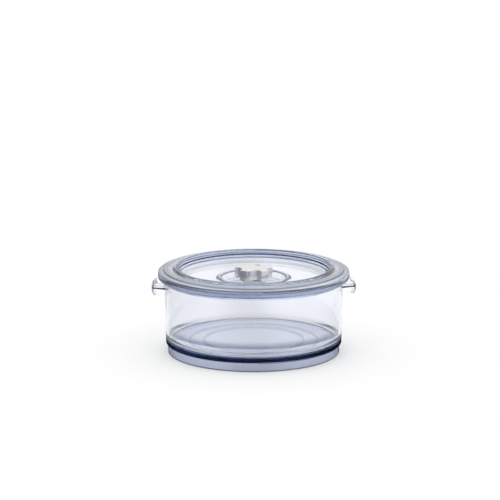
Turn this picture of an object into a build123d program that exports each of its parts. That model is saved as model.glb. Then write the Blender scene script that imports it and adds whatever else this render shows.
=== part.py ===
from build123d import *
import os
from math import degrees

# Vacuum seal canister, in millimetres. A clear round canister with two moulded ears
# stands on its foot ring. A clear lid with a silicone gasket drops over its rim. In the
# middle of the lid a five-lobed knob sits in a round well and works the vent valve:
# a quarter turn lifts the valve off its seat and lets the air in.
# The origin is the middle of the foot ring's underside, +Z is up, the ears lie along X.

os.makedirs("parts", exist_ok=True)

# Fits and clearances
running_clearance = 0.1
sliding_clearance = 0.2
seat_clearance = 0.05
overrun = 2.0

# Canister
wall_base_radius = 101.1
wall_draft = 1.4
wall_thickness = 3.0
wall_base_edge = 1.8
rim_height = 91.0
rim_edge = 0.8
foot_step = 2.5
foot_wall = 3.2
foot_height = 10.8
foot_edge = 0.8
floor_thickness = 5.1
floor_corner = 8.0
floor_ring_inner_radius = 57.5
floor_ring_outer_radius = 74.0
floor_ring_width = 1.6
floor_ring_depth = 2.2

# Ears, moulded on the canister
ear_projection = 7.5
ear_root_inset = 1.5
ear_root_half_width = 13.0
ear_tip_half_width = 9.0
ear_corner = 5.0
ear_lip_thickness = 2.6
ear_lid_gap = 0.8
ear_crest_drop = 5.6
ear_bulge_drop = 14.0
ear_tip_drop = 21.8
ear_tip_inset = 2.8
ear_web_drop = 12.7
ear_web_thickness = 1.6
ear_web_root_thickness = 2.2
ear_gusset_thickness = 2.4
ear_gusset_drop = 28.5

# Lid
lid_overhang = 7.5
lid_wall = 2.5
flange_thickness = 3.0
flange_fall = 0.4
flange_step_inset = 6.4
flange_step_height = 1.0
flange_slope_fall = 1.2
flange_edge = 2.2
skirt_drop = 7.0
skirt_edge = 3.6
skirt_edge_rise = 3.6
skirt_foot_width = 1.6
skirt_clearance = 0.4
plug_clearance = 0.6
plug_thickness = 2.4
plug_drop = 5.0
bead_stack_clearance = 2.6
bead_width = 5.4
bead_height = 3.0
bead_edge = 1.2
bead_foot_edge = 0.8
recess_wall_draft = 0.8
recess_depth = 10.3
recess_corner_height = 3.3
recess_corner_width = 2.2
recess_corner_edge = 1.2
recess_fall = 3.3
collar_width = 5.8
collar_height = 1.3
collar_slope_width = 2.2
collar_edge = 0.8
well_depth = 8.2
well_draft = 2.6
well_corner = 2.0
finger_room = 12.5

# Gasket
gasket_thickness = 3.6
gasket_lip = 0.8

# Valve housing, moulded in the lid's well
housing_bore_radius = 11.2
housing_skin = 1.0
housing_margin = 0.4
guide_groove_depth = 1.2
guide_groove_floor = 1.4
post_radius = 3.0
screw_hole_spare = 1.3
seat_lip_width = 0.6
seat_lip_height = 0.7
seat_margin = 0.7
seat_gap = 1.1
vent_radius = 1.0
vent_count = 6
guard_socket_radius = 14.0
guard_socket_wall = 1.6
guard_socket_depth = 3.0

# Valve plunger and its disc
lift = 2.5
quarter_turn = 90.0
spigot_wall = 1.3
spigot_barb = 0.4
spigot_barb_height = 0.4
spigot_rise = 2.7
plunger_flange_thickness = 2.0
follower_radius = 1.0
disc_thickness = 1.6
disc_inset = 0.2

# Cam sleeve
sleeve_wall = 1.3
sleeve_floor_gap = 1.0
sleeve_top_land = 0.35
cam_clearance = 0.15
key_width = 4.0
key_height = 2.0

# Knob core
core_overlap = 1.1
core_wall = 2.0
core_plate_thickness = 1.85
core_play = 0.15
core_fin_thickness = 2.4
core_fin_play = 0.2

# Knob cover
knob_radius = 21.5
knob_height = 12.0
knob_lobes = 5
knob_wall = 2.0
knob_top = 2.4
knob_flute_radius = 8.1
knob_flute_depth = 7.0
knob_lobe_edge = 0.6
knob_top_edge = 1.0
knob_gap = 0.6
mark_radius = 3.2
mark_depth = 0.9
mark_offset = 10.5
mark_side = 5.0

# Spring
spring_wire = 0.7
spring_radius = 5.6
spring_turns = 3.25
spring_space = 5.7

# Screw and washer
screw_radius = 1.25
screw_length = 9.0
screw_head_radius = 2.75
screw_head_height = 1.9
screw_head_edge = 0.6
screw_recess_width = 0.7
screw_recess_length = 3.2
screw_recess_depth = 1.1
screw_hole_clearance = 0.05
washer_radius = 5.5
washer_thickness = 0.8

# Splash guard under the vents
guard_wall = 1.5
guard_floor = 1.5
guard_window_height = 1.8
guard_window_width = 6.0
guard_windows = 4

# Radii worked out from the sizes above
rim_radius = wall_base_radius + wall_draft
rim_inner_radius = rim_radius - wall_thickness
base_inner_radius = wall_base_radius - wall_thickness
foot_radius = wall_base_radius - foot_step
foot_inner_radius = foot_radius - foot_wall
skirt_inner_radius = rim_radius + skirt_clearance
plug_radius = rim_inner_radius - plug_clearance
plug_inner_radius = plug_radius - plug_thickness
lid_radius = rim_radius + lid_overhang
bead_outer_radius = foot_inner_radius - bead_stack_clearance
bead_inner_radius = bead_outer_radius - bead_width
recess_radius = bead_inner_radius - recess_wall_draft - recess_corner_width
well_radius = knob_radius + finger_room
collar_inner_radius = well_radius + well_draft
collar_outer_radius = collar_inner_radius + collar_width
flange_step_radius = lid_radius - flange_step_inset
ear_reach = lid_radius + ear_projection
spigot_inner_radius = post_radius + running_clearance
spigot_radius = spigot_inner_radius + spigot_wall
groove_radius = housing_bore_radius + guide_groove_depth
housing_radius = groove_radius + housing_skin
sleeve_radius = housing_bore_radius - running_clearance
sleeve_inner_radius = sleeve_radius - sleeve_wall
plunger_flange_radius = sleeve_inner_radius - sliding_clearance
disc_radius = plunger_flange_radius - disc_inset
seat_inner_radius = spigot_radius + seat_gap
seat_outer_radius = disc_radius - seat_margin
vent_circle_radius = (seat_inner_radius + seat_outer_radius) / 2
core_bore_radius = post_radius + running_clearance
core_radius = sleeve_radius + core_overlap
core_inner_radius = core_radius - core_wall

# Heights worked out from the sizes above
floor_top = foot_height + floor_thickness
channel_top = rim_height + gasket_thickness
flange_top = channel_top + flange_thickness
flange_step_foot = flange_top - flange_step_height
flange_edge_height = flange_step_foot - flange_slope_fall
bead_top = flange_top + bead_height
skirt_bottom = rim_height - skirt_drop
plug_bottom = rim_height - plug_drop
ear_crest_height = rim_height - ear_crest_drop
ear_bulge_height = rim_height - ear_bulge_drop
ear_tip_height = rim_height - ear_tip_drop
ear_web_height = rim_height - ear_web_drop
ear_gusset_height = rim_height - ear_gusset_drop
recess_top = bead_top - recess_depth
collar_foot = recess_top - recess_fall
collar_top = collar_foot + collar_height
well_top = collar_top - well_depth
well_bottom = well_top - lid_wall
seat_top = well_top + seat_lip_height
flange_bottom = seat_top + disc_thickness
plunger_top = flange_bottom + plunger_flange_thickness
follower_height = flange_bottom + plunger_flange_thickness / 2
housing_top = follower_height + lift + housing_margin
cam_top = follower_height + lift + follower_radius + cam_clearance
sleeve_top = cam_top + sleeve_top_land
sleeve_bottom = well_top + sleeve_floor_gap
core_plate_bottom = plunger_top + spring_space
core_plate_top = core_plate_bottom + core_plate_thickness
post_top = core_plate_top + core_play
screw_seat = post_top + washer_thickness
knob_bottom = housing_top + knob_gap
knob_crown = knob_bottom + knob_height
core_top = knob_crown - knob_top
guard_bottom = well_bottom - guard_socket_depth - guard_window_height - guard_floor

# The knob's lobes: one points along +Y
lobe_step = 360.0 / knob_lobes
lobe_start = 90.0


def corner(sketch, x, y):
    """The corner of a section nearest to a point, as a list for fillet."""
    return [sketch.vertices().sort_by_distance(Vector(x, y))[0]]


def tube(outer, inner, bottom, top):
    """A plain tube about Z, made for use inside a sub-part's block."""
    with BuildSketch(Plane.XY.offset(bottom)) as ring:
        Circle(outer)
        Circle(inner, mode=Mode.SUBTRACT)
    extrude(ring.sketch, amount=top - bottom)


def write(piece, name):
    """Labels a finished sub-part and writes its STEP file."""
    piece.part.label = name
    export_step(piece.part, f"parts/{name}.step")
    print(name, "volume", round(piece.part.volume), "solids", len(piece.part.solids()))


# Ear: a curved outer lip, a level web that carries it and a gusset under the web
ear_root = rim_radius - ear_root_inset
lip_start = lid_radius + ear_lid_gap
lip_tip = ear_reach - ear_tip_inset
lip_inner = ear_reach - ear_lip_thickness
lip_middle = ear_reach - ear_lip_thickness / 2
with BuildPart() as ear:
    with BuildSketch(Plane.XZ):
        with BuildLine():
            outer = ThreePointArc(
                (lip_start, ear_crest_height),
                (ear_reach, ear_bulge_height),
                (lip_tip, ear_tip_height),
            )
            foot = Line(outer @ 1, (lip_tip - ear_lip_thickness, ear_tip_height))
            inner = ThreePointArc(
                foot @ 1,
                (lip_inner, ear_bulge_height),
                (lip_start, ear_crest_height - ear_lip_thickness),
            )
            Line(inner @ 1, outer @ 0)
        make_face()
    extrude(amount=ear_root_half_width, both=True)
    with BuildSketch(Plane.XZ):
        with BuildLine():
            Polyline(
                (lip_middle, ear_web_height),
                (ear_root, ear_web_height),
                (ear_root, ear_web_height - ear_web_root_thickness),
                (lip_middle, ear_web_height - ear_web_thickness),
                close=True,
            )
        make_face()
    extrude(amount=ear_root_half_width, both=True)
    with BuildSketch(Plane.XZ):
        with BuildLine():
            Polyline(
                (lip_tip - ear_lip_thickness / 2, ear_tip_height),
                (ear_root, ear_gusset_height),
                (ear_root, ear_web_height),
                (lip_inner + ear_lip_thickness / 4, ear_web_height),
                close=True,
            )
        make_face()
    extrude(amount=ear_gusset_thickness / 2, both=True)
    with BuildSketch(Plane.XY.offset(ear_gusset_height)) as ear_plan:
        with BuildLine():
            Polyline(
                (ear_root, ear_root_half_width),
                (ear_reach, ear_tip_half_width),
                (ear_reach, -ear_tip_half_width),
                (ear_root, -ear_root_half_width),
                close=True,
            )
        make_face()
        fillet(ear_plan.vertices().group_by(Axis.X)[-1], ear_corner)
    extrude(amount=ear_crest_height - ear_gusset_height, mode=Mode.INTERSECT)

# Canister: wall, floor, foot ring, two floor rings and the ears, moulded in one
with BuildPart() as canister_body:
    with BuildSketch(Plane.XZ) as section:
        with BuildLine():
            Polyline(
                (0, foot_height),
                (foot_inner_radius, foot_height),
                (foot_inner_radius, 0),
                (foot_radius, 0),
                (foot_radius, foot_height),
                (wall_base_radius, foot_height),
                (rim_radius, rim_height),
                (rim_inner_radius, rim_height),
                (base_inner_radius, floor_top),
                (0, floor_top),
                close=True,
            )
        make_face()
        fillet(corner(section, base_inner_radius, floor_top), floor_corner)
        fillet(corner(section, wall_base_radius, foot_height), wall_base_edge)
        fillet(corner(section, foot_inner_radius, foot_height), wall_base_edge)
        fillet(corner(section, foot_radius, 0), foot_edge)
        fillet(corner(section, foot_inner_radius, 0), foot_edge)
        fillet(corner(section, rim_radius, rim_height), rim_edge)
        fillet(corner(section, rim_inner_radius, rim_height), rim_edge)
    revolve(axis=Axis.Z)
    for ring_radius in (floor_ring_inner_radius, floor_ring_outer_radius):
        tube(
            ring_radius + floor_ring_width / 2,
            ring_radius - floor_ring_width / 2,
            foot_height - floor_ring_depth,
            foot_height,
        )
    with PolarLocations(0, 2):
        add(ear.part)
write(canister_body, "canister_body")

# Lid: recessed clear shell with a raised bead, a stepped outer rim and a central well
with BuildPart() as lid_shell:
    with BuildSketch(Plane.XZ) as lid_section:
        with BuildLine():
            Polyline(
                (0, well_top),
                (well_radius, well_top),
                (collar_inner_radius, collar_top),
                (collar_outer_radius - collar_slope_width, collar_top),
                (collar_outer_radius, collar_foot),
                (recess_radius, recess_top),
                (recess_radius + recess_corner_width, recess_top + recess_corner_height),
                (bead_inner_radius, bead_top),
                (bead_outer_radius - bead_edge, bead_top),
                (bead_outer_radius, flange_top + flange_fall),
                (flange_step_radius, flange_top),
                (flange_step_radius, flange_step_foot),
                (lid_radius, flange_edge_height),
                (lid_radius, skirt_bottom + skirt_edge_rise),
                (skirt_inner_radius + skirt_foot_width, skirt_bottom),
                (skirt_inner_radius, skirt_bottom),
                (skirt_inner_radius, channel_top),
                (plug_radius, channel_top),
                (plug_radius, plug_bottom),
                (plug_inner_radius, plug_bottom),
                (plug_inner_radius, channel_top),
                (bead_inner_radius + lid_wall, channel_top),
                (
                    recess_radius + recess_corner_width + lid_wall,
                    recess_top + recess_corner_height - lid_wall,
                ),
                (recess_radius + lid_wall / 2, recess_top - lid_wall),
                (collar_outer_radius + lid_wall / 2, collar_foot - lid_wall),
                (collar_outer_radius - collar_slope_width, collar_top - lid_wall),
                (collar_inner_radius + lid_wall, collar_top - lid_wall),
                (well_radius + lid_wall, well_bottom),
                (0, well_bottom),
                close=True,
            )
        make_face()
        fillet(corner(lid_section, lid_radius, flange_edge_height), flange_edge)
        fillet(corner(lid_section, bead_inner_radius, bead_top), bead_edge)
        fillet(corner(lid_section, bead_outer_radius - bead_edge, bead_top), bead_edge)
        fillet(corner(lid_section, well_radius, well_top), well_corner)
        fillet(corner(lid_section, lid_radius, skirt_bottom + skirt_edge_rise), skirt_edge)
        fillet(corner(lid_section, bead_outer_radius, flange_top + flange_fall), bead_foot_edge)
        for corner_radius, corner_height in (
            (recess_radius, recess_top),
            (recess_radius + recess_corner_width, recess_top + recess_corner_height),
            (recess_radius + lid_wall / 2, recess_top - lid_wall),
        ):
            fillet(corner(lid_section, corner_radius, corner_height), recess_corner_edge)
        for corner_radius, corner_height in (
            (collar_inner_radius, collar_top),
            (collar_outer_radius - collar_slope_width, collar_top),
            (collar_outer_radius, collar_foot),
        ):
            fillet(corner(lid_section, corner_radius, corner_height), collar_edge)
        fillet(
            corner(lid_section, skirt_inner_radius + skirt_foot_width, skirt_bottom),
            skirt_foot_width / 2,
        )
    revolve(axis=Axis.Z)
    tube(housing_radius, housing_bore_radius, well_top, housing_top)
    tube(
        seat_inner_radius + seat_lip_width / 2,
        seat_inner_radius - seat_lip_width / 2,
        well_top,
        seat_top,
    )
    tube(
        seat_outer_radius + seat_lip_width / 2,
        seat_outer_radius - seat_lip_width / 2,
        well_top,
        seat_top,
    )
    tube(
        guard_socket_radius + guard_socket_wall,
        guard_socket_radius,
        well_bottom - guard_socket_depth,
        well_bottom,
    )
    with BuildSketch(Plane.XY.offset(well_top)):
        Circle(post_radius)
    extrude(amount=post_top - well_top)
    with Locations(Plane.XY.offset(post_top)):
        Hole(
            screw_radius + screw_hole_clearance,
            depth=screw_length - washer_thickness + screw_hole_spare,
        )
    with BuildSketch(Plane.XY.offset(well_top)):
        with PolarLocations(vent_circle_radius, vent_count):
            Circle(vent_radius)
    extrude(amount=2 * lid_wall, both=True, mode=Mode.SUBTRACT)
    with BuildSketch(Plane.XY.offset(well_top + guide_groove_floor)):
        Rectangle(2 * groove_radius, 2 * (follower_radius + sliding_clearance))
        Circle(housing_bore_radius - overrun, mode=Mode.SUBTRACT)
    extrude(amount=housing_top - well_top, mode=Mode.SUBTRACT)
write(lid_shell, "lid_shell")

# Gasket: a silicone ring in the lid's channel, with a soft lip along its underside
gasket_outer = skirt_inner_radius - seat_clearance
gasket_inner = plug_radius + seat_clearance
with BuildPart() as lid_gasket:
    with BuildSketch(Plane.XZ):
        with BuildLine():
            Polyline(
                (gasket_inner, channel_top),
                (gasket_outer, channel_top),
                (gasket_outer, rim_height + gasket_lip),
                (gasket_outer - gasket_lip, rim_height),
                (gasket_inner + gasket_lip, rim_height),
                (gasket_inner, rim_height + gasket_lip),
                close=True,
            )
        make_face()
    revolve(axis=Axis.Z)
write(lid_gasket, "lid_gasket")

# Plunger: a sleeve that slides on the post, a flange that backs the disc and two
# follower pins that ride in the cam slots and are held from turning by the housing
follower_length = groove_radius - sliding_clearance - plunger_flange_radius + overrun
with BuildPart() as valve_plunger:
    tube(spigot_radius, spigot_inner_radius, seat_top, plunger_top + spigot_rise)
    tube(
        spigot_radius + spigot_barb,
        spigot_inner_radius,
        seat_top - spigot_barb_height,
        seat_top,
    )
    tube(plunger_flange_radius, spigot_inner_radius, flange_bottom, plunger_top)
    for side in (1, -1):
        with BuildSketch(Plane.YZ.offset(side * (plunger_flange_radius - overrun))):
            with Locations((0, follower_height)):
                Circle(follower_radius)
        extrude(amount=side * follower_length)
write(valve_plunger, "valve_plunger")

# Valve disc: a soft washer between the plunger's flange and the two seat lips
with BuildPart() as valve_disc:
    tube(disc_radius, spigot_radius, seat_top, flange_bottom)
write(valve_disc, "valve_disc")

# Cam slot: the shape of one slot, which climbs by the lift in a quarter turn
slot_height = 2 * (follower_radius + cam_clearance)
slot_middle = (sleeve_radius + sleeve_inner_radius) / 2
slot_end = degrees((follower_radius + cam_clearance) / slot_middle)
slot_sweep = quarter_turn + 2 * slot_end
slot_pitch = lift * 360.0 / quarter_turn
slot_rise = slot_pitch * slot_sweep / 360.0
slot_start = follower_height - slot_pitch * slot_end / 360.0
with BuildPart() as cam_slot:
    with BuildLine() as climb:
        Helix(
            pitch=slot_pitch,
            height=slot_rise,
            radius=slot_middle,
            center=(0, 0, slot_start),
            lefthand=True,
        )
    with BuildSketch(Plane(origin=climb.line @ 0, x_dir=(1, 0, 0), z_dir=climb.line % 0)):
        Rectangle(2 * sleeve_wall, slot_height)
    sweep(is_frenet=True)

# Cam sleeve: turns in the housing. Its two slots open upwards at their high ends, where
# the follower pins drop in, and two keys on its top edge fit notches in the knob's core
with BuildPart() as cam_sleeve:
    tube(sleeve_radius, sleeve_inner_radius, sleeve_bottom, sleeve_top)
    with BuildSketch(Plane.XY.offset(sleeve_top)):
        Rectangle(key_width, 2 * sleeve_radius)
        Circle(sleeve_radius, mode=Mode.INTERSECT)
        Circle(sleeve_inner_radius, mode=Mode.SUBTRACT)
    extrude(amount=key_height)
    with PolarLocations(0, 2, start_angle=slot_end):
        add(cam_slot.part, mode=Mode.SUBTRACT)
    with BuildSketch(Plane.XY.offset(follower_height + lift)):
        with PolarLocations(slot_middle, 2, start_angle=-quarter_turn):
            Rectangle(2 * sleeve_wall, slot_height)
    extrude(amount=sleeve_top - follower_height, mode=Mode.SUBTRACT)
write(cam_sleeve, "cam_sleeve")

# Core: the knob's inner cup. It turns on the post, caps the sleeve and carries the cover
fin_length = knob_radius - knob_wall - core_radius
fin_middle = core_radius + fin_length / 2 - core_fin_play
with BuildPart() as knob_core:
    tube(core_radius, core_inner_radius, sleeve_top, core_top)
    tube(core_inner_radius + seat_clearance, core_bore_radius, core_plate_bottom, core_plate_top)
    with BuildSketch(Plane.XY.offset(sleeve_top)):
        with PolarLocations(fin_middle, knob_lobes, start_angle=lobe_start):
            Rectangle(fin_length, core_fin_thickness)
    extrude(amount=core_top - sleeve_top)
    with BuildSketch(Plane.XY.offset(sleeve_top)):
        Rectangle(
            key_width + 2 * seat_clearance,
            2 * (sleeve_radius + seat_clearance),
        )
    extrude(amount=key_height + seat_clearance, mode=Mode.SUBTRACT)
write(knob_core, "knob_core")

# Cover: the silver five-lobed shell that is gripped, with a shallow round index mark on top
flute_circle_radius = knob_radius - knob_flute_depth + knob_flute_radius
flute_start = lobe_start + lobe_step / 2
with BuildPart() as knob_cover:
    with BuildSketch(Plane.XY.offset(knob_bottom)) as lobes:
        Circle(knob_radius)
        with PolarLocations(flute_circle_radius, knob_lobes, start_angle=flute_start):
            Circle(knob_flute_radius, mode=Mode.SUBTRACT)
        fillet(lobes.vertices(), knob_lobe_edge)
    extrude(amount=knob_height)
    fillet(knob_cover.faces().sort_by(Axis.Z)[-1].edges(), knob_top_edge)
    with BuildSketch(Plane.XY.offset(knob_bottom)):
        Circle(knob_radius - knob_wall)
        with PolarLocations(flute_circle_radius, knob_lobes, start_angle=flute_start):
            Circle(knob_flute_radius + knob_wall, mode=Mode.SUBTRACT)
    extrude(amount=knob_height - knob_top, mode=Mode.SUBTRACT)
    with BuildSketch(Plane.XY.offset(knob_crown - mark_depth)):
        with Locations((mark_side, mark_offset)):
            Circle(mark_radius)
    extrude(amount=mark_depth + overrun, mode=Mode.SUBTRACT)
write(knob_cover, "knob_cover")

# Screw and washer: they hold the knob on the post and leave it free to turn
with BuildPart() as retaining_washer:
    tube(washer_radius, screw_radius + running_clearance, post_top, post_top + washer_thickness)
write(retaining_washer, "retaining_washer")

with BuildPart() as retaining_screw:
    with BuildSketch(Plane.XY.offset(screw_seat)):
        Circle(screw_head_radius)
    extrude(amount=screw_head_height)
    fillet(retaining_screw.edges().group_by(Axis.Z)[-1], screw_head_edge)
    with BuildSketch(Plane.XY.offset(screw_seat)):
        Circle(screw_radius)
    extrude(amount=-screw_length)
    chamfer(retaining_screw.edges().group_by(Axis.Z)[0], screw_radius / 3)
    with BuildSketch(Plane.XY.offset(screw_seat + screw_head_height)):
        Rectangle(screw_recess_length, screw_recess_width)
        Rectangle(screw_recess_width, screw_recess_length)
    extrude(amount=-screw_recess_depth, mode=Mode.SUBTRACT)
write(retaining_screw, "retaining_screw")

# Spring: presses the plunger down from the core's plate
spring_climb = core_plate_bottom - plunger_top - spring_wire
with BuildPart() as valve_spring:
    with BuildLine() as coil:
        Helix(
            pitch=spring_climb / spring_turns,
            height=spring_climb,
            radius=spring_radius,
            center=(0, 0, plunger_top + spring_wire / 2),
        )
    with BuildSketch(Plane(origin=coil.line @ 0, x_dir=(1, 0, 0), z_dir=coil.line % 0)):
        Circle(spring_wire / 2)
    sweep(is_frenet=True)
write(valve_spring, "valve_spring")

# Splash guard: a shallow cup under the vents with windows in its side for the air
guard_radius = guard_socket_radius - seat_clearance
with BuildPart() as splash_guard:
    tube(guard_radius, guard_radius - guard_wall, guard_bottom, well_bottom)
    with BuildSketch(Plane.XY.offset(guard_bottom)):
        Circle(guard_radius)
    extrude(amount=guard_floor)
    with BuildSketch(Plane.XY.offset(guard_bottom + guard_floor)):
        with PolarLocations(guard_radius, guard_windows):
            Rectangle(2 * (guard_wall + overrun), guard_window_width)
    extrude(amount=guard_window_height, mode=Mode.SUBTRACT)
write(splash_guard, "splash_guard")
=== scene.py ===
# %% [markdown]
# # A clear vacuum canister
#
# This lesson dresses a canister for keeping food: a low round box of clear, faintly blue
# plastic, a clear lid with a deep recess, and a silver knob that lets the air back in.
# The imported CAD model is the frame. Everything is in metres, stands on the plane z = 0
# and has +Z up. The camera looks roughly along +Y, and the two ears lie along X.

# %% The frame
from math import cos, radians, sin
from types import SimpleNamespace

import bmesh
import bpy
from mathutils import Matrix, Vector


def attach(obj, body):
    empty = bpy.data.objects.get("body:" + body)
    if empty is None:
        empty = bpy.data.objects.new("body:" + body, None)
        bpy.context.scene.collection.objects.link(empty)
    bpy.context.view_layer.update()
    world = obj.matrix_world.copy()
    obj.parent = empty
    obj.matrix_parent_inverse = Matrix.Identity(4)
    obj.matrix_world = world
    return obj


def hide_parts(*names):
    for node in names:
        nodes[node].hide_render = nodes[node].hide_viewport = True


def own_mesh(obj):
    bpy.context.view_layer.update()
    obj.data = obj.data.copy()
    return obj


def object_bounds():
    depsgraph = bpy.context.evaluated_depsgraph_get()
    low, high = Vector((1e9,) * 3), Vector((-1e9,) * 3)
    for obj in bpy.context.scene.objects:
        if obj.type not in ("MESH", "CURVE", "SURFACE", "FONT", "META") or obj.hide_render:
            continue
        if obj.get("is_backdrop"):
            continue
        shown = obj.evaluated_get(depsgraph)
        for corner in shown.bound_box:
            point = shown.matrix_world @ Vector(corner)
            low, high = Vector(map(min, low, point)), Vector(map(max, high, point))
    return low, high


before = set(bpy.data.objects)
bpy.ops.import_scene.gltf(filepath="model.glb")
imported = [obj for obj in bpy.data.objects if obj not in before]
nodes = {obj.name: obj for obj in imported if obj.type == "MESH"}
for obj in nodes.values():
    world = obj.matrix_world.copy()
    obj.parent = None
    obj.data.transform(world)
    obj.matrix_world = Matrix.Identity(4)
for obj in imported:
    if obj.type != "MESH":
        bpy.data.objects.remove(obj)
bpy.context.view_layer.update()

# %% [markdown]
# ## The camera
#
# The rings of the lid and the floor look like ellipses in the picture, and their shapes give
# the height and the distance of the camera: far away, with a long lens, a little above the
# rim. The canister stands low in the frame, so the camera looks at a point above it. The ears
# show that the canister is turned a little, so the camera stands a little to the left.
# A camera can also be placed by eye, but a fitted one leaves only the looks to compare.

# %% The camera
mm = 0.001
camera_distance = 3501 * mm
camera_elevation = radians(13.64)
camera_turn = radians(2.7)
focal_pixels = 3039
picture_pixels = 500
sensor_millimetres = 36
farthest_seen = 100
canister_pixel = Vector((253.74, 308.47))
canister_middle = Vector((0, 0, 50 * mm))
rightward = Vector((1, 0, 0))
upward = Vector((0, 0, 1))

toward_camera = Vector((
    -sin(camera_turn) * cos(camera_elevation),
    -cos(camera_turn) * cos(camera_elevation),
    sin(camera_elevation),
))
camera_right = upward.cross(toward_camera).normalized()
camera_up = toward_camera.cross(camera_right)
pixel_size = camera_distance / focal_pixels
aim = (
    canister_middle
    - camera_right * (canister_pixel.x - picture_pixels / 2) * pixel_size
    + camera_up * (canister_pixel.y - picture_pixels / 2) * pixel_size
)

camera_data = bpy.data.cameras.new("camera")
camera_data.sensor_width = sensor_millimetres
camera_data.lens = sensor_millimetres * focal_pixels / picture_pixels
camera_data.clip_end = farthest_seen
camera = bpy.data.objects.new("camera", camera_data)
bpy.context.scene.collection.objects.link(camera)
camera.location = canister_middle + toward_camera * camera_distance
camera.rotation_euler = (aim - camera.location).to_track_quat("-Z", "Y").to_euler()
bpy.context.scene.camera = camera
print("camera lens", round(camera_data.lens, 1), "mm, at", [round(v, 3) for v in camera.location])

# %% [markdown]
# ## A few helpers for nodes
#
# Most finishes here need the same small steps: two values combined, a length, a smooth step
# of a value, a band between two heights or two radii, and a tint by a mask. The nodes could
# be placed by hand in the editor. Here each step is a short function that adds its nodes to
# a tree and gives back the socket that holds the result, so that a finish reads like a
# sentence.

# %% Helpers for numbers
def feed(tree, value, socket):
    """Puts a number, a colour or another node's output into a socket."""
    if isinstance(value, bpy.types.NodeSocket):
        tree.links.new(value, socket)
    else:
        socket.default_value = value


def work_out(tree, operation, first, second=0.0):
    """Two values combined by a Math node."""
    node = tree.nodes.new("ShaderNodeMath")
    node.operation = operation
    feed(tree, first, node.inputs[0])
    feed(tree, second, node.inputs[1])
    return node.outputs[0]


def measure(tree, operation, vector, other=(0, 0, 0)):
    """A number that a Vector Math node gives for one or two vectors."""
    node = tree.nodes.new("ShaderNodeVectorMath")
    node.operation = operation
    node.inputs[1].default_value = other
    tree.links.new(vector, node.inputs[0])
    return node.outputs["Value"]


def along(tree, vector, axis):
    """How far a vector points along an axis."""
    return measure(tree, "DOT_PRODUCT", vector, axis)


# %% Helpers for masks
def either(tree, masks):
    """The strongest of several masks."""
    strongest = masks[0]
    for mask in masks[1:]:
        strongest = work_out(tree, "MAXIMUM", strongest, mask)
    return strongest


def both(tree, masks):
    """All of several masks multiplied."""
    product = masks[0]
    for mask in masks[1:]:
        product = work_out(tree, "MULTIPLY", product, mask)
    return product


def step(tree, value, start, end, before=0.0, after=1.0):
    """A smooth step: before up to start, after from end on."""
    node = tree.nodes.new("ShaderNodeMapRange")
    node.interpolation_type = "SMOOTHSTEP"
    node.inputs["From Min"].default_value = start
    node.inputs["From Max"].default_value = end
    feed(tree, before, node.inputs["To Min"])
    feed(tree, after, node.inputs["To Max"])
    tree.links.new(value, node.inputs["Value"])
    return node.outputs["Result"]


def above(tree, value, edge, blur, depth=1.0):
    """0 below an edge and depth above it, with a soft change."""
    return step(tree, value, edge - blur, edge + blur, 0.0, depth)


def below(tree, value, edge, blur, depth=1.0):
    """A mask of this depth below an edge and 0 above it, with a soft change."""
    return step(tree, value, edge - blur, edge + blur, depth, 0.0)


def band(tree, value, low, high, blur):
    """1 between low and high, and 0 outside, with soft ends."""
    return both(tree, [above(tree, value, low, blur), below(tree, value, high, blur)])


def tinted(tree, mask, first, second):
    """A colour that goes from the first to the second by a mask."""
    mix = tree.nodes.new("ShaderNodeMixRGB")
    feed(tree, first, mix.inputs["Color1"])
    feed(tree, second, mix.inputs["Color2"])
    tree.links.new(mask, mix.inputs["Fac"])
    return mix.outputs[0]


def choose(tree, factor, first, second):
    """One shader where the factor is 0 and another where it is 1."""
    node = tree.nodes.new("ShaderNodeMixShader")
    tree.links.new(factor, node.inputs["Fac"])
    tree.links.new(first, node.inputs[1])
    tree.links.new(second, node.inputs[2])
    return node.outputs[0]


# %% [markdown]
# ## The studio
#
# The picture is taken in a white tent: the ground and the backdrop are white, and a pale soft
# shadow lies under the canister. A clear thing looks like what stands around it, so cards
# and gaps round the table matter more than lamps. They could be modelled, but then they would
# also throw shadows. Light paths are simpler: they tell how a ray came to the ground or sky.
#
# The ground is plain white where it is seen directly. In mirrors, a dark disc lies under the
# canister and a dark ring further out, which gives the rounded edges and the knob something
# dark to mirror. Seen through plastic the ground is a little bluish, with a faint stripe of
# painted shade from front to back below the canister's middle, which darkens the middle of
# the wall. In mirrors and through plastic it also gets dark far to the left.

# %% The ground
ground_reach = 30.0

ground_mesh = bpy.data.meshes.new("ground")
ground = bpy.data.objects.new("ground", ground_mesh)
bpy.context.scene.collection.objects.link(ground)
sheet = bmesh.new()
bmesh.ops.create_grid(sheet, x_segments=1, y_segments=1, size=ground_reach)
sheet.to_mesh(ground_mesh)
sheet.free()
ground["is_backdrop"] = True
print("ground", len(ground_mesh.polygons), "face,", 2 * ground_reach, "m wide")

# %% The ground's dark shapes
dark_disc_middle = (0, -33 * mm, 0)
dark_disc_edge = (142 * mm, 175 * mm)
dark_ring_middle = (0, -47 * mm, 0)
dark_ring = (412 * mm, 480 * mm)
dark_ring_soft = 14 * mm
dark_ring_dimming = 0.85
left_fade = (150 * mm, 450 * mm)
left_dimming = 0.95
stripe_edge = (5 * mm, 52 * mm)
stripe_dimming = 0.2

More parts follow.
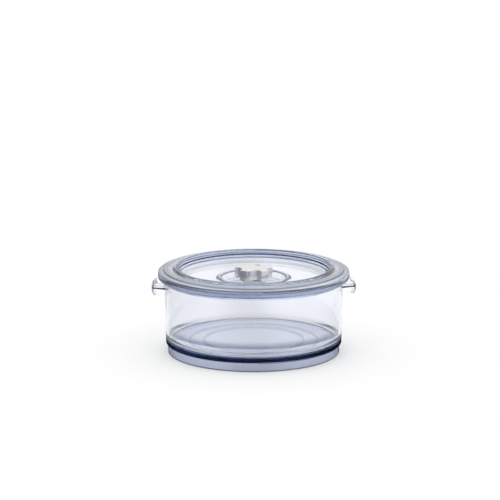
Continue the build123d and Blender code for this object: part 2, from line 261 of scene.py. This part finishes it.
ground_paint = bpy.data.materials.new("ground_white")
ground_paint.use_nodes = True
ground_tree = ground_paint.node_tree
place = ground_tree.nodes.new("ShaderNodeTexCoord").outputs["Object"]
from_disc = measure(ground_tree, "DISTANCE", place, dark_disc_middle)
from_ring = measure(ground_tree, "DISTANCE", place, dark_ring_middle)
disc = step(ground_tree, from_disc, *dark_disc_edge, 1.0, 0.0)
ring = band(ground_tree, from_ring, *dark_ring, dark_ring_soft)
ring = work_out(ground_tree, "MULTIPLY", ring, dark_ring_dimming)
leftward = along(ground_tree, place, -rightward)
left = step(ground_tree, leftward, *left_fade, 0.0, left_dimming)
sideways = work_out(ground_tree, "ABSOLUTE", along(ground_tree, place, rightward))
# Painted shade: a darker stripe, seen only through plastic, darkens the middle of the wall.
stripe_shade = step(ground_tree, sideways, *stripe_edge, stripe_dimming, 0.0)
print("dark disc to", dark_disc_edge, "m, dark ring", dark_ring, "m")

# %% The ground's paint
ground_white = (0.9, 0.9, 0.895, 1)
ground_bluish = (0.87, 0.885, 0.93, 1)
black = (0, 0, 0, 1)

ray = ground_tree.nodes.new("ShaderNodeLightPath").outputs
bent = ray["Is Transmission Ray"]
mirrored = both(ground_tree, [
    ray["Is Glossy Ray"], work_out(ground_tree, "SUBTRACT", 1.0, bent),
])
dimming = either(ground_tree, [
    both(ground_tree, [either(ground_tree, [disc, ring]), mirrored]),
    both(ground_tree, [left, ray["Is Glossy Ray"]]),
    both(ground_tree, [stripe_shade, bent]),
])
ground_colour = tinted(ground_tree, bent, ground_white, ground_bluish)
ground_colour = tinted(ground_tree, dimming, ground_colour, black)
ground_shader = ground_tree.nodes["Principled BSDF"]
ground_shader.inputs["Roughness"].default_value = 1
ground_shader.inputs["Specular IOR Level"].default_value = 0
ground_tree.links.new(ground_colour, ground_shader.inputs["Base Color"])
ground_mesh.materials.append(ground_paint)
print("ground paint", len(ground_tree.nodes), "nodes")

# %% [markdown]
# ## The sky
#
# The sky is the only light, as soft as a tent's cloth. It is white where it is seen directly
# and where it lights dull things. What a surface mirrors goes from dim on the left to bright
# on the right, with a bright roof above and behind, which shapes the knob. What is seen
# through plastic is white too, apart from a dim far left, which darkens the left sides of
# the knob's lobes, because they stand behind the lid's raised bead. Lamps could do this, but
# they would leave small hot spots on the clear plastic.

# %% The sky
white = (1, 1, 1, 1)
white_strength = 1.14
dim_strength = 0.2
dim_fade = (-0.75, -0.25)
mirror_fade = (-0.85, 0.8)
mirror_strengths = (0.3, 1.4)
roof_direction = (0, 0.9, 0.9)
roof_fade = (0.1, 0.8)
roof_strength = 0.98

world = bpy.data.worlds.new("white_tent")
world.use_nodes = True
bpy.context.scene.world = world
sky = world.node_tree
sky.nodes.clear()
direction = sky.nodes.new("ShaderNodeTexCoord").outputs["Generated"]
ray = sky.nodes.new("ShaderNodeLightPath").outputs


def backdrop(strength):
    """A white sky of this strength."""
    node = sky.nodes.new("ShaderNodeBackground")
    node.inputs["Color"].default_value = white
    feed(sky, strength, node.inputs["Strength"])
    return node.outputs[0]


to_the_right = along(sky, direction, rightward)
through_plastic = step(sky, to_the_right, *dim_fade, dim_strength, white_strength)
left_to_right = step(sky, to_the_right, *mirror_fade, *mirror_strengths)
roof = step(sky, along(sky, direction, roof_direction), *roof_fade, 0.0, roof_strength)
in_mirrors = work_out(sky, "MAXIMUM", left_to_right, roof)
tent = choose(sky, ray["Is Glossy Ray"], backdrop(white_strength), backdrop(in_mirrors))
tent = choose(sky, ray["Is Transmission Ray"], tent, backdrop(through_plastic))
sky_out = sky.nodes.new("ShaderNodeOutputWorld")
sky.links.new(tent, sky_out.inputs["Surface"])
print("sky", len(sky.nodes), "nodes")

# %% [markdown]
# ## How light is followed
#
# A ray that looks through the lid, the wall and the floor crosses many surfaces before it
# reaches the ground. Low limits on its bounces would be quicker, but where a ray is given up
# too early the plastic turns black, so the limits are high. The colours are shown as they
# are, with no film look.

# %% How light is followed
bent_bounces = 32
mirror_bounces = 12
film_bounces = 24

scene = bpy.context.scene
scene.view_settings.view_transform = "Standard"
scene.cycles.max_bounces = bent_bounces
scene.cycles.transmission_bounces = bent_bounces
scene.cycles.glossy_bounces = mirror_bounces
scene.cycles.transparent_max_bounces = film_bounces
scene.cycles.caustics_refractive = True
scene.cycles.caustics_reflective = True
print("light is followed through", bent_bounces, "bounces")

# %% [markdown]
# ## One skin for all moulded pieces
#
# Moulded plastic is never perfectly flat: it shrinks a little as it cools, which leaves broad
# shallow waves, and the mould's own finish prints a very fine grain. Hands leave smudges that
# dull the gloss in places. Each material could have its own nodes for these. The same three
# things are on every piece in different amounts, so they are one node group, placed in each
# finish with its own values.

# %% The skin group
smudge_size = 42.0
smudge_fade = (0.5, 0.72)
wave_detail, grain_detail, smudge_detail = 1, 2, 3

skin = bpy.data.node_groups.new("moulded_skin", "ShaderNodeTree")
skin.interface.new_socket("Place", in_out="INPUT", socket_type="NodeSocketVector")
for amount in (
    "Wave Size", "Wave Depth", "Grain Size", "Grain Depth", "Gloss Roughness",
    "Smudge Roughness",
):
    skin.interface.new_socket(amount, in_out="INPUT", socket_type="NodeSocketFloat")
skin.interface.new_socket("Roughness", in_out="OUTPUT", socket_type="NodeSocketFloat")
skin.interface.new_socket("Grain", in_out="OUTPUT", socket_type="NodeSocketFloat")
skin.interface.new_socket("Normal", in_out="OUTPUT", socket_type="NodeSocketVector")
skin_in = skin.nodes.new("NodeGroupInput").outputs
skin_out = skin.nodes.new("NodeGroupOutput").inputs


def noise(tree, place, scale, detail):
    """A noise from 0 to 1 with this many spots per metre."""
    node = tree.nodes.new("ShaderNodeTexNoise")
    node.inputs["Detail"].default_value = detail
    tree.links.new(place, node.inputs["Vector"])
    feed(tree, scale, node.inputs["Scale"])
    return node.outputs[0]


waves = noise(skin, skin_in["Place"], skin_in["Wave Size"], wave_detail)
grain = noise(skin, skin_in["Place"], skin_in["Grain Size"], grain_detail)
smudges = step(skin, noise(skin, skin_in["Place"], smudge_size, smudge_detail), *smudge_fade)
relief = work_out(
    skin, "ADD",
    work_out(skin, "MULTIPLY", waves, skin_in["Wave Depth"]),
    work_out(skin, "MULTIPLY", grain, skin_in["Grain Depth"]),
)
bump = skin.nodes.new("ShaderNodeBump")
bump.inputs["Strength"].default_value = 1
bump.inputs["Distance"].default_value = 1
skin.links.new(relief, bump.inputs["Height"])
dulled = work_out(
    skin, "ADD", skin_in["Gloss Roughness"],
    work_out(skin, "MULTIPLY", smudges, skin_in["Smudge Roughness"]),
)
skin.links.new(dulled, skin_out["Roughness"])
skin.links.new(grain, skin_out["Grain"])
skin.links.new(bump.outputs[0], skin_out["Normal"])
print("skin group", len(skin.nodes), "nodes")


# %% Placing the skin
def add_skin(tree, place, wave_size, wave_depth, grain_size, grain_depth, gloss, smudge):
    """Places the skin group in a material. Sizes are spots per metre, depths are metres."""
    node = tree.nodes.new("ShaderNodeGroup")
    node.node_tree = skin
    tree.links.new(place, node.inputs["Place"])
    node.inputs["Wave Size"].default_value = wave_size
    node.inputs["Wave Depth"].default_value = wave_depth
    node.inputs["Grain Size"].default_value = grain_size
    node.inputs["Grain Depth"].default_value = grain_depth
    node.inputs["Gloss Roughness"].default_value = gloss
    node.inputs["Smudge Roughness"].default_value = smudge
    return node.outputs


# %% [markdown]
# ## Clear plastic
#
# The canister, the lid and the splash guard are moulded in a clear plastic with a breath of
# blue. A Principled shader with full transmission bends the light, and a Volume Absorption
# swallows more red than blue, so thick stretches and edges turn blue by themselves. A mix
# with a plain see-through shader would be quicker, but nothing would bend in it. Light that
# should reach the ground through so much plastic would need very many samples, so light on
# its way to or from a dull surface passes straight through a plain film instead.
#
# Where a thick moulded edge gathers light inside the wall, it looks dark. That dark is painted
# shade: each piece gives a mask of such edges, which tints the colour that the surface lets
# through.

# %% Clear plastic
plastic_bend = 1.5
soak_headroom = 1.6
film = (0.974, 0.974, 0.972, 1)


def clear_plastic(name, soaks):
    """A clear plastic that swallows this much red, green and blue per metre."""
    paint = bpy.data.materials.new(name)
    paint.use_nodes = True
    tree = paint.node_tree
    shader = tree.nodes["Principled BSDF"]
    shader.inputs["IOR"].default_value = plastic_bend
    shader.inputs["Transmission Weight"].default_value = 1
    # The volume swallows its density times what its colour lacks of white.
    density = max(soaks) * soak_headroom
    volume = tree.nodes.new("ShaderNodeVolumeAbsorption")
    volume.inputs["Color"].default_value = (*(1 - soak / density for soak in soaks), 1)
    volume.inputs["Density"].default_value = density
    tree.links.new(volume.outputs[0], tree.nodes["Material Output"].inputs["Volume"])
    ray = tree.nodes.new("ShaderNodeLightPath").outputs
    lit = either(tree, [ray["Is Shadow Ray"], ray["Is Diffuse Ray"]])
    clear_film = tree.nodes.new("ShaderNodeBsdfTransparent")
    clear_film.inputs["Color"].default_value = film
    seen = choose(tree, lit, shader.outputs[0], clear_film.outputs[0])
    tree.links.new(seen, tree.nodes["Material Output"].inputs["Surface"])
    spot = tree.nodes.new("ShaderNodeTexCoord").outputs
    return SimpleNamespace(
        paint=paint, tree=tree, shader=shader, film=clear_film,
        place=spot["Object"], normal=spot["Normal"],
    )


def give_skin(plastic, **amounts):
    """Places the skin group in a clear plastic and gives back its outputs."""
    outputs = add_skin(plastic.tree, plastic.place, **amounts)
    plastic.tree.links.new(outputs["Roughness"], plastic.shader.inputs["Roughness"])
    plastic.tree.links.new(outputs["Normal"], plastic.shader.inputs["Normal"])
    return outputs


# %% Places on a round piece
without_height = (1, 1, 0)


def radius_and_height(tree, place):
    """The distance from the canister's axis, and the height."""
    flat = tree.nodes.new("ShaderNodeVectorMath")
    flat.operation = "MULTIPLY"
    flat.inputs[1].default_value = without_height
    tree.links.new(place, flat.inputs[0])
    return measure(tree, "LENGTH", flat.outputs[0]), along(tree, place, upward)


def entering(tree, mask):
    """The part of a mask where light enters the plastic, not where it leaves."""
    inside = tree.nodes.new("ShaderNodeNewGeometry").outputs["Backfacing"]
    return both(tree, [mask, work_out(tree, "SUBTRACT", 1.0, inside)])


def leaving(tree, mask):
    """The part of a mask where light leaves the plastic."""
    inside = tree.nodes.new("ShaderNodeNewGeometry").outputs["Backfacing"]
    return both(tree, [mask, inside])


# %% [markdown]
# ## The canister
#
# One moulding holds the wall, the floor, the foot and both ears, all of the same clear
# plastic. The wall is plain and bright. Its dark edges are painted shade: the floor ends in a
# thick dark edge that runs round the foot, and the foot's lower edge is a thin dark line. The
# floor's top is painted a bluish shade and the foot a lavender shade, for the shaded ground
# seen through them, and two fine rings under the floor show through it as painted dark
# lines. Above the floor's round corner the wall's inner side has a painted shadow of the
# lid's rim, a dark slate band seen where light leaves the near wall. The ears' level webs,
# seen on their cut ends, are painted as nearly black lines, and the lip of an ear is painted
# dark along its outer curve.
#
# A texture could hold all this, but masks are sharp at any distance and need no unwrapping.
# They find their places by radius, height and normal, and stay there from every side.

# %% The canister's plastic
body_soaks = (11, 9.5, 5.5)
soft = 0.2 * mm

canister = clear_plastic("clear_body", body_soaks)
body = canister.tree
radius, height = radius_and_height(body, canister.place)
print("canister swallows", body_soaks, "per metre of red, green and blue")

# %% Painted shade on the edges of the floor and the foot
floor_edge_radius = 99 * mm
floor_edge_heights = (10.9 * mm, 16.6 * mm)
foot_line_radius = 96.5 * mm
foot_line_top = 1.6 * mm
foot_line_depth = 0.85
corner_radii = (90.5 * mm, 95.5 * mm)
corner_heights = (15.4 * mm, 17.0 * mm)
corner_depth = 0.4
foot_top = 10.4 * mm
floor_rings = (57.5 * mm, 74 * mm)
ring_half = 0.9 * mm
ring_depth = 0.45

# Painted shade: dark lines on the floor's edge, the foot's lower edge, the floor's round corner
# and the two rings under the floor.
floor_line = both(body, [
    above(body, radius, floor_edge_radius, soft),
    band(body, height, *floor_edge_heights, 2 * soft),
])
foot_line = both(body, [
    above(body, radius, foot_line_radius, soft),
    below(body, height, foot_line_top, 2 * soft, foot_line_depth),
])
corner_line = work_out(body, "MULTIPLY", corner_depth, both(body, [
    band(body, radius, *corner_radii, 2 * soft), band(body, height, *corner_heights, 2 * soft),
]))
ring_lines = either(body, [
    both(body, [
        band(body, radius, ring - ring_half, ring + ring_half, soft),
        below(body, height, foot_top, soft, ring_depth),
    ])
    for ring in floor_rings
])
print("floor's edge at heights", floor_edge_heights, "m, rings at", floor_rings, "m")

# %% Painted shade on the edges of the ears
web_start = 101.4 * mm
web_heights = (76.0 * mm, 78.5 * mm)
lip_start = 109 * mm
lip_middle = Vector((107.75, 0, 76.1)) * mm
lip_radius = 9.79 * mm
lip_line = 1.1 * mm
lip_depth = 0.9
front_to_back = (0, 1, 0)
cut_end_facing = (0.3, 0.6)

sideways = work_out(body, "ABSOLUTE", along(body, canister.place, rightward))
facing = work_out(body, "ABSOLUTE", along(body, canister.normal, front_to_back))
cut_end = step(body, facing, *cut_end_facing)
# Painted shade: nearly black lines on the cut ends of the ears' webs and along the lips' outer
# curves.
web_line = both(body, [
    above(body, sideways, web_start, soft), band(body, height, *web_heights, soft), cut_end,
])
from_lip = body.nodes.new("ShaderNodeCombineXYZ")
body.links.new(work_out(body, "SUBTRACT", sideways, lip_middle.x), from_lip.inputs["X"])
body.links.new(work_out(body, "SUBTRACT", height, lip_middle.z), from_lip.inputs["Z"])
lip_reach = measure(body, "LENGTH", from_lip.outputs[0])
lip_edge = both(body, [
    above(body, lip_reach, lip_radius - lip_line, soft, lip_depth),
    above(body, sideways, lip_start, soft), cut_end,
])
print("ear's web at heights", web_heights, "m, lip of radius", lip_radius, "m")

# %% Painted shade on the floor, the foot and the wall
clear = (1, 1, 1, 1)
# The near-black colour of the painted shade along edges, on the canister and the lid.
edge_shade_dark = (0.010, 0.012, 0.017, 1)
foot_shade_lavender = (0.30, 0.36, 0.58, 1)
floor_shade_blue = (0.56, 0.63, 0.80, 1)
rim_shadow_slate = (0.15, 0.18, 0.28, 1)
floor_heights = (15.4 * mm, 16.4 * mm)
foot_depth = 0.8
haunch_radii = (95.5 * mm, 99.6 * mm)
haunch_foot = (25.5 * mm, 27.5 * mm)
haunch_fade = (28.0 * mm, 37.0 * mm)

# Painted shade: the floor's top is tinted bluish for the shaded ground seen through it.
painted_floor_shade = both(body, [
    below(body, radius, corner_radii[0], soft), band(body, height, *floor_heights, soft),
])
# Painted shade: the foot is tinted lavender for the shaded ground seen through it.
foot = below(body, height, foot_top, soft, foot_depth)
# Painted shadow: a slate band on the wall's inner side, above the floor's corner, stands for the
# lid rim's shadow across the floor.
painted_rim_shadow = both(body, [
    band(body, radius, *haunch_radii, soft),
    step(body, height, *haunch_foot), step(body, height, *haunch_fade, 1.0, 0.0),
])
# Painted shade: all the canister's dark edge lines together.
painted_edge_shade = either(body, [
    entering(body, either(body, [floor_line, web_line, lip_edge, foot_line])),
    corner_line, ring_lines,
])
body_colour = tinted(body, entering(body, painted_floor_shade), clear, floor_shade_blue)
body_colour = tinted(body, entering(body, foot), body_colour, foot_shade_lavender)
body_colour = tinted(body, leaving(body, painted_rim_shadow), body_colour, rim_shadow_slate)
body_colour = tinted(body, painted_edge_shade, body_colour, edge_shade_dark)
body.links.new(body_colour, canister.shader.inputs["Base Color"])
print("canister's colour", len(body.nodes), "nodes")

# %% [markdown]
# The thick foot holds back more light than the thin wall, so the film that stands for the
# plastic in shadows is darker there. That grounds the canister with a soft shadow.

# %% The canister's film and skin
dark_film = (0.72, 0.72, 0.71, 1)
shade_radius = 93 * mm
shade_top = 17 * mm
clear_skin = {
    "wave_size": 18, "wave_depth": 0.00002, "grain_size": 2500, "grain_depth": 0.0,
    "gloss": 0.015, "smudge": 0.02,
}

foot_shade = both(body, [
    above(body, radius, shade_radius, soft), below(body, height, shade_top, soft),
])
body.links.new(tinted(body, foot_shade, film, dark_film), canister.film.inputs["Color"])
give_skin(canister, **clear_skin)
print("canister", len(body.nodes), "nodes")

# %% [markdown]
# ## The lid
#
# The lid is moulded in the same plastic. Its broad stepped flange has a satin top that hides
# the gasket below, which a rougher surface and a rough coat outside the bead give. The rim is
# pale lavender, and its rounded lower edge is painted a greyer lavender shade. Its edges are
# thin dark lines of painted shade, which bevels alone would leave too faint at this size: the
# flange's outer edge and step, the edges and foot of the bead, the recess's wall and corner,
# and the rings of the collar.
# Each line is a small ring by radius and height, where the surface also leans the right way.

# %% The lid's plastic
lid_soaks = (16, 14, 9)

cover = clear_plastic("clear_lid", lid_soaks)
lid = cover.tree
radius, height = radius_and_height(lid, cover.place)
print("lid swallows", lid_soaks, "per metre of red, green and blue")

# %% The lid's painted dark lines
# The lines are painted shade: a near-black tint along the lid's edges.
# Each row: inner and outer radius, lowest and highest height, least and most that the
# surface faces up, and the line's depth. From -0.5 to 1.5, only undersides are left out.
painted_lid_lines = {
    "flange's outer edge": (107.6, 110.2, 92.6, 95.7, 0.25, 0.93, 0.55),
    "flange's step": (103.0, 104.5, 96.3, 97.8, -0.5, 1.5, 0.7),
    "bead's outer edge": (90.9, 92.9, 98.5, 100.8, 0.45, 0.90, 0.45),
    "bead's inner edge": (86.9, 88.9, 98.5, 100.8, 0.45, 0.90, 0.55),
    "bead's foot": (92.5, 94.2, 97.6, 99.2, 0.25, 0.93, 0.55),
    "recess's wall": (86.0, 87.8, 94.0, 95.8, -0.5, 1.5, 1.0),
    "recess's corner": (84.4, 86.3, 90.9, 92.3, -0.5, 1.5, 0.85),
    "collar's outer edge": (40.2, 43.4, 86.6, 88.5, 0.20, 0.97, 0.45),
    "collar's inner edge": (36.0, 37.6, 87.2, 88.5, 0.25, 0.95, 0.4),
}
lean_soft = 0.06

lean = along(lid, cover.normal, upward)
lines = []
for inner, outer, low, high, least, most, depth in painted_lid_lines.values():
    line = both(lid, [
        band(lid, radius, inner * mm, outer * mm, soft),
        band(lid, height, low * mm, high * mm, soft), band(lid, lean, least, most, lean_soft),
    ])
    lines.append(work_out(lid, "MULTIPLY", line, depth))
painted_edge_lines = either(lid, lines)
print("lid's dark lines:", ", ".join(painted_lid_lines))

# %% The lid's colour
pale_lavender = (0.84, 0.88, 1.0, 1)
skirt_shade_lavender = (0.30, 0.335, 0.44, 1)
rim_start = 86 * mm
skirt_radius = 109 * mm
skirt_top = 93 * mm

rim = above(lid, radius, rim_start, soft)
# Painted shade: the rim's rounded lower edge is tinted a greyer lavender.
painted_skirt_shade = both(lid, [above(lid, radius, skirt_radius, soft), below(lid, height, skirt_top, soft)])
lid_colour = tinted(lid, entering(lid, rim), clear, pale_lavender)
lid_colour = tinted(lid, entering(lid, painted_skirt_shade), lid_colour, skirt_shade_lavender)
lid_colour = tinted(lid, entering(lid, painted_edge_lines), lid_colour, edge_shade_dark)
lid.links.new(lid_colour, cover.shader.inputs["Base Color"])
print("lid's colour", len(lid.nodes), "nodes")

# %% The lid's satin flange
flange_start = 93.6 * mm
flange_height = 94.9 * mm
satin = 0.38
coat_bend = 1.8

flange = both(lid, [
    above(lid, radius, flange_start, soft), above(lid, height, flange_height, soft),
])
lid_skin = give_skin(cover, **clear_skin)
# The flange's own roughness takes the place of the skin's there.
lid_rough = step(lid, flange, 0.0, 1.0, lid_skin["Roughness"], satin)
lid.links.new(lid_rough, cover.shader.inputs["Roughness"])
frosted = both(lid, [flange, work_out(lid, "SUBTRACT", 1.0, painted_edge_lines)])
lid.links.new(frosted, cover.shader.inputs["Coat Weight"])
cover.shader.inputs["Coat Roughness"].default_value = satin
cover.shader.inputs["Coat IOR"].default_value = coat_bend
print("lid", len(lid.nodes), "nodes")

# %% [markdown]
# ## The splash guard
#
# A small clear cup under the lid's vents keeps food out of the valve. It is the lid's
# plastic. It could share the lid's material, but that holds masks for the lid's rim and
# lines, so the cup has a plainer one of its own.

# %% The splash guard's plastic
guard = clear_plastic("clear_guard", lid_soaks)
guard.shader.inputs["Base Color"].default_value = clear
give_skin(
    guard, wave_size=30, wave_depth=0.00002, grain_size=2500, grain_depth=0.0,
    gloss=0.02, smudge=0.02,
)
print("splash guard", len(guard.tree.nodes), "nodes")

# %% [markdown]
# ## Silicone, silver, acetal, rubber and steel
#
# The gasket is frosted silicone that lets light through. The knob's cover is plastic with a
# satin silver coat: metal with a fine grain. The valve's sliding pieces are white acetal,
# which is a little waxy. The valve disc is dark rubber, and the spring, washer and screw are
# bright steel. Each could have a tree of its own, but they differ only in numbers, so one
# function makes them all from two colours, a metallic value and the amounts of the skin
# group.

# %% A solid finish
def solid(name, dark, light, metallic, **skin_amounts):
    """An opaque finish whose colour goes from dark to light with the grain."""
    paint = bpy.data.materials.new(name)
    paint.use_nodes = True
    tree = paint.node_tree
    shader = tree.nodes["Principled BSDF"]
    shader.inputs["Metallic"].default_value = metallic
    place = tree.nodes.new("ShaderNodeTexCoord").outputs["Object"]
    outputs = add_skin(tree, place, **skin_amounts)
    colour = tinted(tree, outputs["Grain"], (*dark, 1), (*light, 1))
    tree.links.new(colour, shader.inputs["Base Color"])
    tree.links.new(outputs["Roughness"], shader.inputs["Roughness"])
    tree.links.new(outputs["Normal"], shader.inputs["Normal"])
    print(name, len(tree.nodes), "nodes")
    return paint


# %% The solid finishes
silver = solid(
    "satin_silver", dark=(0.70, 0.70, 0.69), light=(0.78, 0.78, 0.77), metallic=1.0,
    wave_size=60, wave_depth=0.00003, grain_size=2200, grain_depth=0.000012,
    gloss=0.24, smudge=0.08,
)
acetal = solid(
    "white_acetal", dark=(0.78, 0.78, 0.75), light=(0.86, 0.86, 0.84), metallic=0.0,
    wave_size=60, wave_depth=0.00003, grain_size=1800, grain_depth=0.000006,
    gloss=0.38, smudge=0.08,
)
rubber = solid(
    "valve_rubber", dark=(0.05, 0.05, 0.055), light=(0.12, 0.12, 0.13), metallic=0.0,
    wave_size=80, wave_depth=0.00004, grain_size=2600, grain_depth=0.00002,
    gloss=0.6, smudge=0.15,
)
steel = solid(
    "bright_steel", dark=(0.56, 0.56, 0.57), light=(0.68, 0.68, 0.68), metallic=1.0,
    wave_size=200, wave_depth=0.00001, grain_size=3500, grain_depth=0.000006,
    gloss=0.22, smudge=0.1,
)
silicone = solid(
    "frosted_silicone", dark=(0.86, 0.89, 0.95), light=(0.93, 0.95, 1.0), metallic=0.0,
    wave_size=60, wave_depth=0.00003, grain_size=1500, grain_depth=0.00001,
    gloss=0.4, smudge=0.1,
)

# %% Silicone lets light through
silicone_bend = 1.41

silicone_shader = silicone.node_tree.nodes["Principled BSDF"]
silicone_shader.inputs["Transmission Weight"].default_value = 1
silicone_shader.inputs["IOR"].default_value = silicone_bend
print("silicone bends light by", silicone_bend)

# %% [markdown]
# ## Dressing the pieces
#
# The CAD pieces have the right shapes already, so they stay, and each gets its finish here.
# Modelling them again would only move them away from the solids that the joints carry.

# %% Dressing the pieces
finishes = {
    "canister_body": canister.paint,
    "lid_shell": cover.paint,
    "splash_guard": guard.paint,
    "lid_gasket": silicone,
    "knob_cover": silver,
    "knob_core": acetal,
    "cam_sleeve": acetal,
    "valve_plunger": acetal,
    "valve_disc": rubber,
    "valve_spring": steel,
    "retaining_washer": steel,
    "retaining_screw": steel,
}
for piece_name, paint in finishes.items():
    nodes[piece_name].data.materials.clear()
    nodes[piece_name].data.materials.append(paint)
print("dressed", len(finishes), "pieces")

# %% [markdown]
# ## The spring
#
# The valve's spring hangs under the knob's core and presses the plunger down. When the knob
# turns, the cam lifts the plunger and the spring gets shorter. A CAD piece is rigid, so a copy
# of its mesh stands for it here and rides on the knob. Wire keeps its thickness in a real
# spring and only the turns come closer, but inside the closed knob nobody sees the difference.

spring = bpy.data.objects.new("squeezed_spring", nodes["valve_spring"].data.copy())
bpy.context.scene.collection.objects.link(spring)
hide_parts("valve_spring")
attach(spring, "knob")
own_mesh(spring)

# %% [markdown]
# ## Sizes
#
# The dressed canister has to be as large as the CAD model, so the box of its visible pieces
# is printed.

# %% Sizes
bpy.context.view_layer.update()
low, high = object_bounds()
print("visual box", [round(v, 4) for v in low], [round(v, 4) for v in high])
